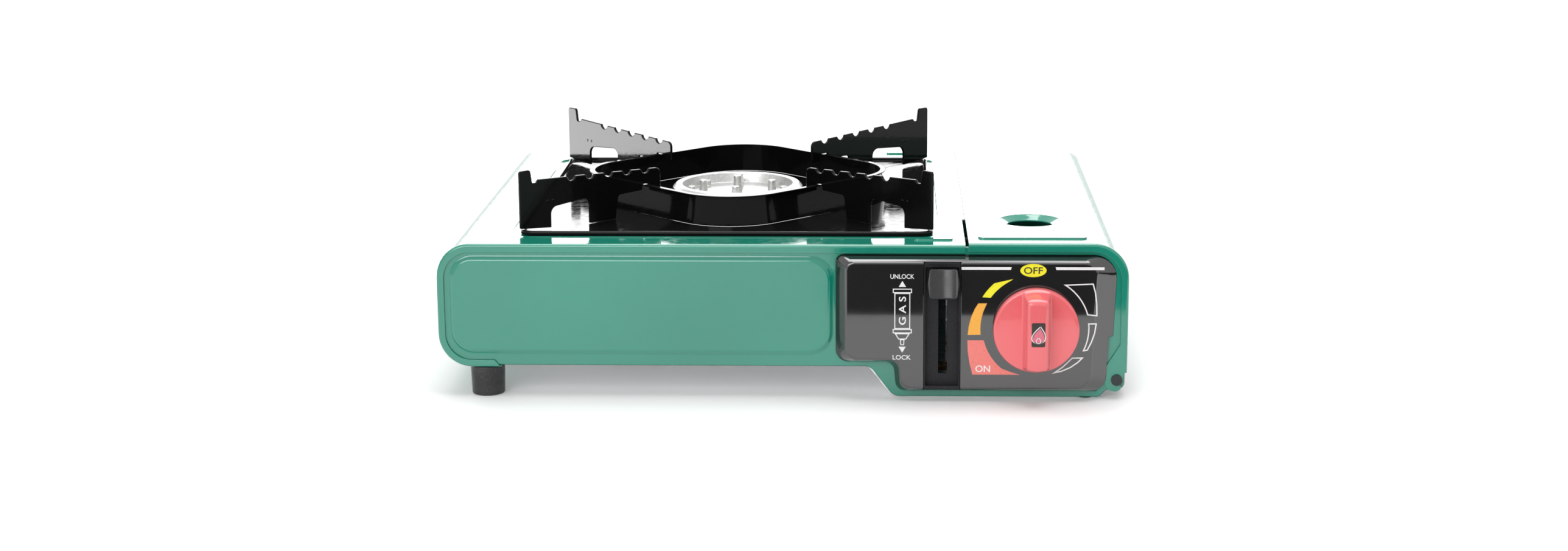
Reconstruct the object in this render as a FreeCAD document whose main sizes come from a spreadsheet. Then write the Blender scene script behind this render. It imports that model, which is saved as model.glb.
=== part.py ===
import FreeCAD, Part
import math
import os
import re
import Sketcher

# A portable gas stove that burns a butane canister lying in a side bay.
# Millimetres, +Z up, the front faces -Y, the origin lies under the middle of the whole.

SIZES = {
    # casing
    "body_width": 343.0, "body_depth": 268.0, "top_height": 78.2, "sheet_wall": 0.8,
    "corner_radius": 17.0, "bend_radius": 1.5, "top_flange": 4.2, "side_flange": 3.7,
    "split_x": 91.0, "return_height": 15.2, "return_length": 31.1, "panel_recess": 1.1,
    "seam": 0.3, "contact": 0.1, "knob_reach": 22.0, "bay_height": 1.5, "step_x": 43.0,
    "step_run": 11.5, "step_bend": 4.0, "bay_side": 9.3, "bay_lip": 11.0, "panel_low": 1.0,
    "panel_bend": 6.0, "panel_foot": 4.8,
    "emboss_left": 6.2, "emboss_right": 25.9, "emboss_low": 22.1, "emboss_high": 72.1,
    "emboss_rise": 1.5, "emboss_slope": 2.1, "emboss_radius": 12.0, "rib_rise": 0.8,
    "rib_width": 4.0, "tab_length": 3.0,
    "vent_length": 36.0, "vent_width": 5.0, "vent_pitch": 14.0, "vent_count": 7,
    "vent_inset": 40.0, "vent_low": 50.0, "vent_reach": 60.0,
    # gas bay lid
    "lid_gap": 1.5, "lid_lift": 0.8, "lid_radius": 18.0, "lid_low": 13.5, "hinge_inset": 5.2,
    "lid_rib_left": 5.0, "lid_rib_length": 54.0, "lid_rib_y": 11.0, "lid_rib_width": 7.0,
    "hinge_height": 10.0, "hinge_pin": 3.4, "pin_head": 1.0, "head_radius": 2.8,
    "pin_length": 3.4, "ear_radius": 6.0, "ear_rise": 18.0, "ear_foot": 3.2, "running": 0.05,
    "finger_x": 125.4, "finger_y": 58.0, "finger_width": 32.0, "finger_hole": 23.0,
    "finger_depth": 2.2,
    # drip tray and wind ring
    "tray_x": -28.6, "tray_y": 130.0, "tray_width": 208.3, "tray_depth": 214.0,
    "tray_corner": 6.0, "tray_top": 80.0, "tray_floor": 77.0, "tray_wall": 0.8,
    "tray_roll": 2.3, "tray_slope": 10.0, "floor_corner": 30.0, "tray_hole": 46.0,
    "recess_left": 4.9, "recess_right": 3.0, "recess_front": 3.0, "recess_rear": 4.0,
    "recess_depth": 0.8, "recess_ledge": 5.5, "ring_side": 64.2, "ring_corner": 31.0,
    "ring_top": 92.7, "ring_lip": 3.0, "ring_flare": 2.3, "ring_wall": 0.8,
    # pan supports
    "trivet_wall": 1.6, "trivet_reach": 147.0, "hook_reach": 9.2, "horn_top": 110.0,
    "horn_width": 7.0, "rest_outer": 104.5, "rest_inner": 100.5, "notch_depth": 2.3,
    "notch_radius": 2.9, "notch_first": 33.0, "notch_pitch": 12.2, "notch_count": 5,
    "leg_width": 19.5, "window_length": 25.0, "window_top": 90.0, "inner_leg": 17.0,
    "hook_foot": 89.0, "hook_slack": 3.5,
    # burner
    "burner_radius": 35.1, "burner_top": 85.0, "burner_height": 12.0, "bowl_radius": 30.0,
    "bowl_depth": 5.0, "port_count": 64, "port_width": 1.5, "port_height": 1.7,
    "port_depth": 2.4, "post_count": 4, "peg_count": 8, "throat_radius": 14.0,
    "throat_height": 34.0, "mixer_height": 42.0, "mixer_bore": 7.0, "mixer_length": 66.0,
    "mixer_turn": -38.1, "jet_radius": 4.0, "jet_length": 13.0, "electrode_turn": -60.0,
    "electrode_reach": 41.0, "insulator_radius": 3.0, "insulator_low": 50.0,
    "insulator_high": 77.0, "electrode_wire": 0.8,
    # control fascia, knob and lever
    "fascia_left": 26.8, "fascia_side": 5.3, "fascia_high": 73.6, "fascia_low": 3.8,
    "fascia_step": 18.5, "fascia_step_x": 55.5, "fascia_tuck": 3.0, "fascia_reach": 6.0,
    "fascia_wall": 2.0, "fascia_bevel": 0.9, "window_strip": 2.6, "face_inset": 2.4, "face_left": 4.6, "face_right": 5.0,
    "insert_left": 70.6, "insert_right": 88.6, "channel_low": 8.1, "channel_high": 68.3,
    "channel_depth": 4.0, "slot_width": 4.3, "slot_low": 13.6, "slot_high": 65.0,
    "insert_wall": 2.0, "stem_x": 125.7, "stem_height": 37.5, "stem_radius": 4.0,
    "knob_radius": 21.2, "knob_skirt": 5.0, "grip_width": 10.1, "knob_gap": 0.5,
    "knob_edge": 2.0, "grip_slope": 9.0, "grip_edge": 0.9, "lever_x": 80.05,
    "lever_wall": 2.0, "pivot_y": 62.0, "pivot_height": 40.0, "thumb_y": -4.0,
    "thumb_height": 59.0, "thumb_width": 15.5, "thumb_tall": 14.4, "thumb_thick": 8.5,
    "lever_width": 8.0, "pivot_pin": 5.0, "drive_arm": 11.0, "drive_pin": 3.0,
    # gas bay
    "partition_x": 84.0, "partition_y": 68.0, "shelf_width": 11.0, "socket_bore": 5.5,
    "socket_length": 9.0, "socket_radius": 12.0, "housing_radius": 20.0, "tube_radius": 2.25,
    "tube_bend": 9.0, "carriage_wall": 1.2, "carriage_slack": 0.2, "igniter_x": 144.0,
    "igniter_rise": 26.0, "igniter_radius": 6.0, "igniter_length": 34.0, "lead_drop": 9.0,
    "lead_radius": 1.2, "lead_bend": 12.0,
    # feet
    "foot_side": 23.2, "foot_inset": 9.0, "foot_radius": 8.7, "foot_taper": 0.5,
    "bumper_side": 20.3, "bumper_radius": 3.5, "bumper_inset": 6.5,
}

# places worked out from the sizes above
DERIVED = {
    "half_width": "body_width / 2",
    "front_y": "(knob_reach - pin_head - contact - body_depth) / 2",
    "rear_y": "front_y + body_depth",
    "panel_y": "front_y + panel_recess",
    "inner_y": "panel_recess + sheet_wall + seam",
    "inner_depth": "body_depth - 2 * inner_y",
    "return_x": "return_length - half_width",
    "floor_height": "return_height + sheet_wall + seam",
    "panel_left": "sheet_wall + seam - half_width",
    "panel_right": "half_width - sheet_wall - 0.4",
    "panel_high": "top_height - sheet_wall - seam",
    "step_rise": "floor_height - bay_height",
    "step_shift": "sheet_wall * (sqrt(step_run ^ 2 + step_rise ^ 2) - step_run) / step_rise",
    "bay_floor": "bay_height + sheet_wall",
    "lid_left": "split_x + lid_gap",
    "lid_top": "top_height + lid_lift",
    "hinge_x": "half_width - hinge_inset",
    "hinge_hole": "hinge_pin / 2 + running",
    "bay_edge": "hinge_x - bay_side",
    "fascia_right": "half_width - fascia_side",
    "foot_x": "half_width - foot_side",
    "bumper_x": "half_width - bumper_side",
    "trivet_length": "trivet_reach - ring_side + hook_reach",
    "igniter_height": "stem_height + igniter_rise",
    "lead_height": "lid_top - lead_drop",
    "tray_middle": "front_y + tray_y",
    "tray_left": "tray_x - tray_width / 2",
    "tray_right": "tray_x + tray_width / 2",
    "tray_front": "tray_y - tray_depth / 2",
    "tray_rear": "tray_y + tray_depth / 2",
    "rest_slope": "(rest_outer - rest_inner) / (trivet_length - horn_width - 5)",
    "fascia_y": "panel_y - contact",
    "window_low": "fascia_low + window_strip",
    "window_high": "fascia_high - window_strip - 0.2",
    "fascia_deep": "fascia_reach + panel_recess - contact",
    "swing": "2 * atan((thumb_height - pivot_height) / (pivot_y - thumb_y))",
    "lever_reach": "sqrt((thumb_height - pivot_height) ^ 2 + (pivot_y - thumb_y) ^ 2)",
    "knob_back": "fascia_reach + knob_gap",
    "socket_y": "front_y + 46",
}

WORD = re.compile(r"[a-z][a-z0-9_]*")

doc = FreeCAD.newDocument("cassette_stove")
sheet = doc.addObject("Spreadsheet::Sheet", "dim")
for row, (alias, number) in enumerate(SIZES.items(), 1):
    sheet.set("A%d" % row, alias)
    sheet.set("B%d" % row, str(number))
    sheet.setAlias("B%d" % row, alias)
doc.recompute()

PIECES = []


def bound(text):
    """Swaps each size name in an expression for its cell or its worked-out form."""
    def swap(match):
        word = match.group()
        if word in DERIVED:
            return "(" + bound(DERIVED[word]) + ")"
        return "dim." + word if word in SIZES else word
    return WORD.sub(swap, text)


def measure(text):
    """The number that an expression of size names stands for now."""
    found = sheet.evalExpression(bound(text))
    return float(getattr(found, "Value", found))


def place(item, x="0", y="0", z="0"):
    for axis, text in zip("xyz", (x, y, z)):
        item.setExpression("Placement.Base." + axis, bound(text))
    return item


def turn(item, axis, angle):
    item.Placement = FreeCAD.Placement(FreeCAD.Vector(), FreeCAD.Rotation(FreeCAD.Vector(*axis), 30))
    item.setExpression("Placement.Rotation.Angle", bound(angle))
    return item


def piece(item):
    PIECES.append(item)
    return item


def add_body(label, x="0", y="0", z="0"):
    body = doc.addObject("PartDesign::Body", label)
    body.Label = label
    return piece(place(body, x, y, z))


def add_sketch(body, plane, x="0", y="0", z="0"):
    sketch = body.newObject("Sketcher::SketchObject", "Sketch")
    base = next(item for item in body.Origin.OriginFeatures if item.Role == plane)
    sketch.AttachmentSupport = (base, [""])
    sketch.MapMode = "FlatFace"
    for axis, text in zip("xyz", (x, y, z)):
        sketch.setExpression("AttachmentOffset.Base." + axis, bound(text))
    return sketch


def constrain(sketch, text, kind, *where):
    index = sketch.addConstraint(Sketcher.Constraint(kind, *where, measure(text)))
    sketch.setExpression("Constraints[%d]" % index, bound(text))


def pin_down(sketch, geometry, point, x, y):
    constrain(sketch, x, "DistanceX", -1, 1, geometry, point)
    constrain(sketch, y, "DistanceY", -1, 1, geometry, point)


def outline(sketch, corners):
    """A closed outline of straight edges, where a corner's third entry rounds it."""
    spots = [FreeCAD.Vector(measure(c[0]), measure(c[1]), 0) for c in corners]
    count = len(corners)
    ends = []
    for i, corner in enumerate(corners):
        if len(corner) < 3:
            ends.append((spots[i], spots[i], None))
            continue
        radius = measure(corner[2])
        back = (spots[i - 1] - spots[i]).normalize()
        ahead = (spots[(i + 1) % count] - spots[i]).normalize()
        half = back.getAngle(ahead) / 2
        run = radius / math.tan(half)
        centre = spots[i] + (back + ahead).normalize() * (radius / math.sin(half))
        ends.append((spots[i] + back * run, spots[i] + ahead * run, centre))
    lines = [sketch.addGeometry(Part.LineSegment(ends[i][1], ends[(i + 1) % count][0]))
             for i in range(count)]
    for i, corner in enumerate(corners):
        before, after = lines[i - 1], lines[i]
        first, last, centre = ends[i]
        if centre is None:
            sketch.addConstraint(Sketcher.Constraint("Coincident", before, 2, after, 1))
            pin_down(sketch, after, 1, corner[0], corner[1])
            continue
        left = (first - centre).cross(last - centre).z > 0
        start, stop = (first, last) if left else (last, first)
        angles = [math.atan2((p - centre).y, (p - centre).x) for p in (start, stop)]
        circle = Part.Circle(centre, FreeCAD.Vector(0, 0, 1), (first - centre).Length)
        arc = sketch.addGeometry(Part.ArcOfCircle(circle, *angles))
        sketch.addConstraint(Sketcher.Constraint("Tangent", before, 2, arc, 1 if left else 2))
        sketch.addConstraint(Sketcher.Constraint("Tangent", arc, 2 if left else 1, after, 1))
        constrain(sketch, corner[2], "Radius", arc)
        tip = sketch.addGeometry(Part.Point(spots[i]), True)
        sketch.addConstraint(Sketcher.Constraint("PointOnObject", tip, 1, before))
        sketch.addConstraint(Sketcher.Constraint("PointOnObject", tip, 1, after))
        pin_down(sketch, tip, 1, corner[0], corner[1])


def rectangle(sketch, left, low, right, high, radius=None):
    corners = [(left, low), (right, low), (right, high), (left, high)]
    outline(sketch, [c + (radius,) if radius else c for c in corners])


def circle(sketch, x, y, radius):
    ring = Part.Circle(FreeCAD.Vector(measure(x), measure(y), 0), FreeCAD.Vector(0, 0, 1),
                       measure(radius))
    index = sketch.addGeometry(ring)
    pin_down(sketch, index, 3, x, y)
    constrain(sketch, radius, "Radius", index)


def feature(body, kind, sketch, **settings):
    made = body.newObject("PartDesign::" + kind, body.Label + "_" + kind.lower())
    made.Profile = sketch
    for name, setting in settings.items():
        if isinstance(setting, str) and name not in ("SideType",):
            made.setExpression(name, bound(setting))
        else:
            setattr(made, name, setting)
    return made


def pad(body, sketch, length, **settings):
    return feature(body, "Pad", sketch, Length=length, **settings)


def pocket(body, sketch, length, **settings):
    return feature(body, "Pocket", sketch, Length=length, **settings)


def spin(body, sketch, axis="V_Axis", kind="Revolution"):
    made = feature(body, kind, sketch)
    made.ReferenceAxis = (sketch, [axis])
    made.Angle = 360
    return made


def loft(body, first, second, kind="AdditiveLoft"):
    made = feature(body, kind, first, Ruled=True)
    made.Sections = [second]
    return made


def ring_of(body, made, sketch, count):
    pattern = body.newObject("PartDesign::PolarPattern", "Ring")
    pattern.Originals = [made]
    pattern.Axis = (sketch, ["N_Axis"])
    pattern.Angle = 360
    pattern.setExpression("Occurrences", bound(count))
    body.Tip = pattern


def row_of(body, made, sketch, axis, pitch, count):
    pattern = body.newObject("PartDesign::LinearPattern", "Row")
    pattern.Originals = [made]
    pattern.Direction = (sketch, [axis])
    pattern.setExpression("Length", bound("%s * (%s - 1)" % (pitch, count)))
    pattern.setExpression("Occurrences", bound(count))
    body.Tip = pattern


def round_edges(body, radius, choose):
    """Rounds the edges of the piece so far for which choose says yes."""
    doc.recompute()
    base = body.Tip
    names = ["Edge%d" % (i + 1) for i, edge in enumerate(base.Shape.Edges) if choose(edge)]
    made = body.newObject("PartDesign::Fillet", body.Label + "_rounding")
    made.Base = (base, names)
    made.setExpression("Radius", bound(radius))


def lies_at(edge, axis, number):
    box = edge.BoundBox
    low, high = getattr(box, axis + "Min"), getattr(box, axis + "Max")
    return abs(low - number) < 0.01 and abs(high - number) < 0.01


def primitive(kind, name, x="0", y="0", z="0", along="Z", **sizes):
    item = doc.addObject("Part::" + kind, name)
    for prop, text in sizes.items():
        item.setExpression(prop, bound(text))
    if along == "Y":
        item.Placement.Rotation = FreeCAD.Rotation(FreeCAD.Vector(1, 0, 0), -90)
    if along == "X":
        item.Placement.Rotation = FreeCAD.Rotation(FreeCAD.Vector(0, 1, 0), 90)
    return place(item, x, y, z)


def rod(name, x, y, z, radius, length, along="Z"):
    return primitive("Cylinder", name, x, y, z, along, Radius=radius, Height=length)


def block(name, x, y, z, length, width, height):
    return primitive("Box", name, x, y, z, Length=length, Width=width, Height=height)


def joined(label, items, kind="MultiFuse"):
    item = doc.addObject("Part::" + kind, label)
    if kind == "Compound":
        item.Links = items
    else:
        item.Shapes = items
    item.Label = label
    return item


def less(label, base, tool):
    item = doc.addObject("Part::Cut", label)
    item.Base = base
    item.Tool = tool
    item.Label = label
    return item


def rounded_path(points, bend):
    """Straight runs joined by tangent arcs."""
    edges = []
    start = points[0]
    for before, corner, after in zip(points, points[1:], points[2:]):
        back = (before - corner).normalize()
        ahead = (after - corner).normalize()
        half = back.getAngle(ahead) / 2
        run = min(bend / math.tan(half), 0.45 * (before - corner).Length,
                  0.45 * (after - corner).Length)
        radius = run * math.tan(half)
        middle = (back + ahead).normalize()
        inside = corner + middle * (radius / math.sin(half) - radius)
        edges.append(Part.LineSegment(start, corner + back * run).toShape())
        edges.append(Part.Arc(corner + back * run, inside, corner + ahead * run).toShape())
        start = corner + ahead * run
    edges.append(Part.LineSegment(start, points[-1]).toShape())
    return Part.Wire(edges)


def bent_tube(label, spots, radius, bend):
    points = [FreeCAD.Vector(*[measure(text) for text in spot]) for spot in spots]
    path = rounded_path(points, measure(bend))
    end = Part.Wire(Part.makeCircle(measure(radius), points[0], points[1] - points[0]))
    item = doc.addObject("Part::Feature", label)
    item.Shape = path.makePipeShell([end], True, False)
    item.Label = label
    return piece(item)


# casing


def shell_frame(sketch):
    """The narrow flange that frames a panel, open towards the gas bay."""
    outline(sketch, [
        ("split_x", "top_height"),
        ("-half_width", "top_height", "corner_radius"),
        ("-half_width", "return_height", "corner_radius"),
        ("return_x", "return_height"),
        ("return_x - tab_length", "return_height + side_flange"),
        ("side_flange - half_width", "return_height + side_flange", "corner_radius - side_flange"),
        ("side_flange - half_width", "top_height - top_flange", "corner_radius - side_flange"),
        ("split_x", "top_height - top_flange")])


def main_shell():
    body = add_body("main_shell", y="front_y")
    wrap = add_sketch(body, "XZ_Plane")
    outline(wrap, [
        ("split_x", "top_height"),
        ("-half_width", "top_height", "corner_radius"),
        ("-half_width", "return_height", "corner_radius"),
        ("return_x", "return_height"),
        ("return_x", "return_height + sheet_wall"),
        ("sheet_wall - half_width", "return_height + sheet_wall", "corner_radius - sheet_wall"),
        ("sheet_wall - half_width", "top_height - sheet_wall", "corner_radius - sheet_wall"),
        ("split_x", "top_height - sheet_wall")])
    pad(body, wrap, "body_depth", Reversed=True)
    for depth in ("0", "body_depth - sheet_wall"):
        frame = add_sketch(body, "XZ_Plane", z="-(%s)" % depth)
        shell_frame(frame)
        pad(body, frame, "sheet_wall", Reversed=True)
    tray_recess(body)
    for left, right, middle in (("66", "85", "13.4"), ("52", "70", "body_depth - 9")):
        rib = add_sketch(body, "XY_Plane", z="top_height")
        rectangle(rib, left, middle + " - rib_width / 2", right, middle + " + rib_width / 2",
                  "rib_width * 0.45")
        pad(body, rib, "rib_rise")
    soften_folds(body, "corner_radius", "-half_width", "top_height", "return_height")


def soften_folds(body, corner, side, *levels):
    """Rounds the folds where the wrapped sheet turns into the front and rear flanges."""
    ends = (0, measure("body_depth"))
    radius, edge_x = measure(corner), measure(side)
    heights = [measure(level) for level in levels]

    def on_fold(edge):
        if not any(lies_at(edge, "Y", end) for end in ends):
            return False
        if hasattr(edge.Curve, "Radius"):
            return abs(edge.Curve.Radius - radius) < 0.01
        return lies_at(edge, "X", edge_x) or any(lies_at(edge, "Z", high) for high in heights)
    round_edges(body, "bend_radius", on_fold)


def tray_recess(body):
    """The pressed step round the tray and the opening inside it."""
    edges = ["tray_left - recess_left", "tray_front - recess_front",
             "tray_right + recess_right", "tray_rear + recess_rear"]
    grown = [edges[0] + " - sheet_wall", edges[1] + " - sheet_wall",
             edges[2] + " + sheet_wall", edges[3] + " + sheet_wall"]
    under = add_sketch(body, "XY_Plane", z="top_height - sheet_wall")
    rectangle(under, *grown, "tray_corner + recess_right + sheet_wall")
    pad(body, under, "recess_depth", Reversed=True)
    dip = add_sketch(body, "XY_Plane", z="top_height")
    rectangle(dip, *edges, "tray_corner + recess_right")
    pocket(body, dip, "recess_depth")
    hole = add_sketch(body, "XY_Plane", z="top_height")
    rectangle(hole, "tray_left + recess_ledge", "tray_front + recess_ledge",
              "tray_right - recess_ledge", "tray_rear - recess_ledge", "tray_corner + 8")
    pocket(body, hole, "4 * sheet_wall")


def panel_outline(sketch):
    """Front and rear panels share one outline, with the step down to the gas bay."""
    outline(sketch, [
        ("panel_left", "panel_high", "corner_radius - sheet_wall - seam"),
        ("panel_left", "floor_height", "corner_radius - sheet_wall - seam"),
        ("step_x + 1.2", "floor_height", "panel_bend"),
        ("step_x + step_run + 1.2", "panel_low", "panel_bend"),
        ("hinge_x - 8.5", "panel_low", "panel_bend / 2"),
        ("hinge_x - 5", "panel_foot", "panel_bend / 2"),
        ("panel_right", "panel_foot", "3.8"),
        ("panel_right", "panel_high", "lid_radius - sheet_wall")])


def embossing(body, rear=False):
    """A raised field with sloping sides, pressed out of the sheet towards its outer face."""
    for kind, sunk in (("AdditiveLoft", "0"), ("SubtractiveLoft", "sheet_wall")):
        sketches = []
        for rise, slope in (("0", "0"), ("emboss_rise", "emboss_slope")):
            inset = "(%s + %s)" % (slope, sunk)
            level = "%s - %s" % (rise, sunk)
            drawn = add_sketch(body, "XZ_Plane", z="-(%s) - sheet_wall" % level if rear else level)
            rectangle(drawn, "emboss_left - half_width + " + inset, "emboss_low + " + inset,
                      "emboss_right - " + inset, "emboss_high - " + inset, "emboss_radius - " + inset)
            sketches.append(drawn)
        loft(body, *sketches, kind)


def front_panel():
    body = add_body("front_panel", y="panel_y")
    sheet_face = add_sketch(body, "XZ_Plane")
    panel_outline(sheet_face)
    pad(body, sheet_face, "sheet_wall", Reversed=True)
    embossing(body)
    openings = add_sketch(body, "XZ_Plane")
    circle(openings, "stem_x", "stem_height", "stem_radius + 3")
    circle(openings, "hinge_x", "hinge_height", "hinge_hole")
    rectangle(openings, "insert_left + 1.5", "channel_low - 1", "insert_right - 1.5",
              "channel_high + 1", "1")
    pocket(body, openings, "8 * sheet_wall", SideType="Symmetric")


def rear_panel():
    body = add_body("rear_panel", y="rear_y - panel_recess - sheet_wall")
    sheet_face = add_sketch(body, "XZ_Plane")
    panel_outline(sheet_face)
    pad(body, sheet_face, "sheet_wall", Reversed=True)
    embossing(body, rear=True)
    hinge = add_sketch(body, "XZ_Plane")
    circle(hinge, "hinge_x", "hinge_height", "hinge_hole")
    pocket(body, hinge, "8 * sheet_wall", SideType="Symmetric")
    vent = add_sketch(body, "XZ_Plane")
    rectangle(vent, "vent_inset - half_width", "vent_low", "vent_inset - half_width + vent_width",
              "vent_low + vent_length / 2", "vent_width * 0.45")
    cut = pocket(body, vent, "8 * sheet_wall", SideType="Symmetric")
    row_of(body, cut, vent, "H_Axis", "vent_pitch", "vent_count")


def bottom_plate():
    body = add_body("bottom_plate", y="front_y + inner_y")
    bent = add_sketch(body, "XZ_Plane")
    outline(bent, [
        ("corner_radius - half_width", "floor_height"),
        ("step_x", "floor_height", "step_bend"),
        ("step_x + step_run", "bay_height", "step_bend"),
        ("bay_edge", "bay_height", "3"),
        ("bay_edge", "bay_lip"),
        ("bay_edge - sheet_wall", "bay_lip"),
        ("bay_edge - sheet_wall", "bay_floor", "3 - sheet_wall"),
        ("step_x + step_run + step_shift", "bay_floor", "step_bend - sheet_wall"),
        ("step_x + step_shift", "floor_height + sheet_wall", "step_bend + sheet_wall"),
        ("corner_radius - half_width", "floor_height + sheet_wall")])
    pad(body, bent, "inner_depth", Reversed=True)
    for side in ("tray_y - 70", "tray_y + 30"):
        vent = add_sketch(body, "XY_Plane", z="floor_height + 2 * sheet_wall")
        rectangle(vent, "tray_x - vent_reach", side, "tray_x - vent_reach + vent_width",
                  side + " + vent_length")
        cut = pocket(body, vent, "4 * sheet_wall")
        row_of(body, cut, vent, "H_Axis", "vent_pitch", "vent_count")


def bay_partition():
    body = add_body("bay_partition", y="front_y + partition_y")
    wall = add_sketch(body, "XZ_Plane")
    outline(wall, [
        ("partition_x", "bay_floor + contact"),
        ("partition_x + sheet_wall", "bay_floor + contact"),
        ("partition_x + sheet_wall", "top_height - 2 * sheet_wall - contact"),
        ("partition_x + shelf_width", "top_height - 2 * sheet_wall - contact"),
        ("partition_x + shelf_width", "top_height - sheet_wall - contact"),
        ("partition_x", "top_height - sheet_wall - contact", "1.5")])
    pad(body, wall, "body_depth - partition_y - inner_y - contact", Reversed=True)


def hinge_pins():
    """Two riveted pins with flat heads, which the lid's ears turn on."""
    pins = []
    for name, pin_y, head_y in (
            ("front", "front_y - contact", "front_y - contact - pin_head"),
            ("rear", "rear_y - pin_length", "rear_y + contact")):
        shank = rod(name + "_hinge_shank", "hinge_x", pin_y, "hinge_height", "hinge_pin / 2",
                    "pin_length + contact", "Y")
        head = rod(name + "_hinge_head", "hinge_x", head_y, "hinge_height", "head_radius",
                   "pin_head", "Y")
        pins.append(joined(name + "_hinge_pin", [shank, head]))
    piece(joined("hinge_pins", pins, "Compound"))


def feet():
    legs = [primitive("Cone", "leg", "-foot_x", y, "0", Radius1="foot_radius - foot_taper",
                      Radius2="foot_radius", Height="return_height")
            for y in ("front_y + foot_inset", "rear_y - foot_inset")]
    piece(joined("leg_feet", legs, "Compound"))
    pads = [rod("bumper", "bumper_x", y, "0", "bumper_radius", "bay_height")
            for y in ("front_y + bumper_inset", "rear_y - bumper_inset")]
    piece(joined("bay_bumpers", pads, "Compound"))


# gas bay lid


def lid_shell():
    body = add_body("lid_shell", y="front_y")
    wrap = add_sketch(body, "XZ_Plane")
    outline(wrap, [
        ("lid_left", "lid_top"),
        ("lid_left", "lid_top - sheet_wall"),
        ("half_width - sheet_wall", "lid_top - sheet_wall", "lid_radius - sheet_wall"),
        ("half_width - sheet_wall", "lid_low"),
        ("half_width", "lid_low"),
        ("half_width", "lid_top", "lid_radius")])
    pad(body, wrap, "body_depth", Reversed=True)
    for depth in ("0", "body_depth - sheet_wall"):
        frame = add_sketch(body, "XZ_Plane", z="-(%s)" % depth)
        outline(frame, [
            ("lid_left", "lid_top"),
            ("lid_left", "lid_top - top_flange"),
            ("half_width - side_flange", "lid_top - top_flange", "lid_radius - side_flange"),
            ("half_width - side_flange", "lid_low"),
            ("half_width", "lid_low"),
            ("half_width", "lid_top", "lid_radius")])
        pad(body, frame, "sheet_wall", Reversed=True)
    soften_folds(body, "lid_radius", "half_width", "lid_top")
    for depth in ("0", "body_depth - sheet_wall"):
        hinge_ear(body, depth)
    holes = add_sketch(body, "XZ_Plane")
    circle(holes, "hinge_x", "hinge_height", "hinge_hole")
    pocket(body, holes, "2 * body_depth", SideType="Symmetric")
    finger_dimple(body)
    rib = add_sketch(body, "XY_Plane", z="lid_top")
    rectangle(rib, "lid_left + lid_rib_left", "lid_rib_y", "lid_left + lid_rib_left + lid_rib_length",
              "lid_rib_y + lid_rib_width", "3")
    pad(body, rib, "rib_rise")


def hinge_ear(body, depth):
    """The lug that drops from the lid's flange to the hinge pin."""
    ear = add_sketch(body, "XZ_Plane", z="-(%s)" % depth)
    outline(ear, [
        ("half_width - bend_radius", "hinge_height + ear_rise"),
        ("half_width - side_flange", "hinge_height + ear_rise"),
        ("hinge_x - ear_radius", "hinge_height + ear_radius", "3"),
        ("hinge_x - ear_radius", "hinge_height - ear_radius", "5"),
        ("half_width - ear_foot", "hinge_height - ear_radius", "3"),
        ("half_width - bend_radius", "lid_low")])
    pad(body, ear, "sheet_wall", Reversed=True)


def finger_dimple(body):
    """A dished hole to lift the lid by."""
    well = add_sketch(body, "XY_Plane", z="lid_top")
    circle(well, "finger_x", "finger_y", "finger_width / 2")
    pocket(body, well, "3 * sheet_wall")
    dish = add_sketch(body, "XZ_Plane", x="finger_x", z="-finger_y")
    outline(dish, [
        ("finger_width / 2 + 0.5", "lid_top"),
        ("finger_hole / 2", "lid_top - finger_depth"),
        ("finger_hole / 2", "lid_top - finger_depth - sheet_wall"),
        ("finger_width / 2 + 0.5", "lid_top - sheet_wall")])
    spin(body, dish)


# tray, ring and pan supports


def tray_level(body, z, half_x, half_y, radius):
    level = add_sketch(body, "XY_Plane", z=z)
    rectangle(level, "-(%s)" % half_x, "-(%s)" % half_y, half_x, half_y, radius)
    return level


def drip_tray():
    body = add_body("drip_tray", "tray_x", "tray_middle")
    wide = "tray_width / 2 - tray_roll / 2"
    deep = "tray_depth / 2 - tray_roll / 2"
    for kind, drop, thin in (("AdditiveLoft", "tray_wall", "0"), ("SubtractiveLoft", "0", "tray_wall")):
        low = tray_level(body, "tray_floor - " + drop, wide + " - tray_slope - " + thin,
                         deep + " - tray_slope - " + thin, "floor_corner")
        high = tray_level(body, "tray_top - tray_roll + tray_wall", wide + " - " + thin,
                          deep + " - " + thin, "tray_corner")
        loft(body, low, high, kind)
    rim = tray_level(body, "tray_top - tray_roll", "tray_width / 2", "tray_depth / 2",
                     "tray_corner + tray_roll / 2")
    rectangle(rim, "tray_roll - tray_width / 2", "tray_roll - tray_depth / 2",
              "tray_width / 2 - tray_roll", "tray_depth / 2 - tray_roll", "tray_corner - tray_roll / 2")
    pad(body, rim, "tray_roll")
    top = measure("tray_top")
    round_edges(body, "0.45 * tray_roll", lambda edge: lies_at(edge, "Z", top))
    opening = add_sketch(body, "XY_Plane", z="tray_top")
    circle(opening, "0", "0", "tray_hole")
    pocket(body, opening, "4 * tray_wall + 3")


def ring_level(body, z, side, corner):
    level = add_sketch(body, "XY_Plane", z=z)
    tip = "(%s) * sqrt(2)" % side
    outline(level, [(tip, "0", corner), ("0", tip, corner), ("-" + tip, "0", corner),
                    ("0", "-" + tip, corner)])
    return level


def wind_ring():
    body = add_body("wind_ring", "tray_x", "tray_middle")
    foot = "tray_floor + contact"
    loft(body, ring_level(body, foot, "ring_side + ring_flare", "ring_corner + ring_flare"),
         ring_level(body, "ring_top", "ring_side", "ring_corner"))
    lip = ring_level(body, "ring_top - ring_wall", "ring_side + ring_lip - ring_wall",
                     "ring_corner + ring_lip - ring_wall")
    pad(body, lip, "ring_wall")
    loft(body, ring_level(body, foot + " - contact", "ring_side + ring_flare - ring_wall",
                          "ring_corner + ring_flare - ring_wall"),
         ring_level(body, "ring_top + contact", "ring_side - ring_wall", "ring_corner - ring_wall"),
         "SubtractiveLoft")


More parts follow.
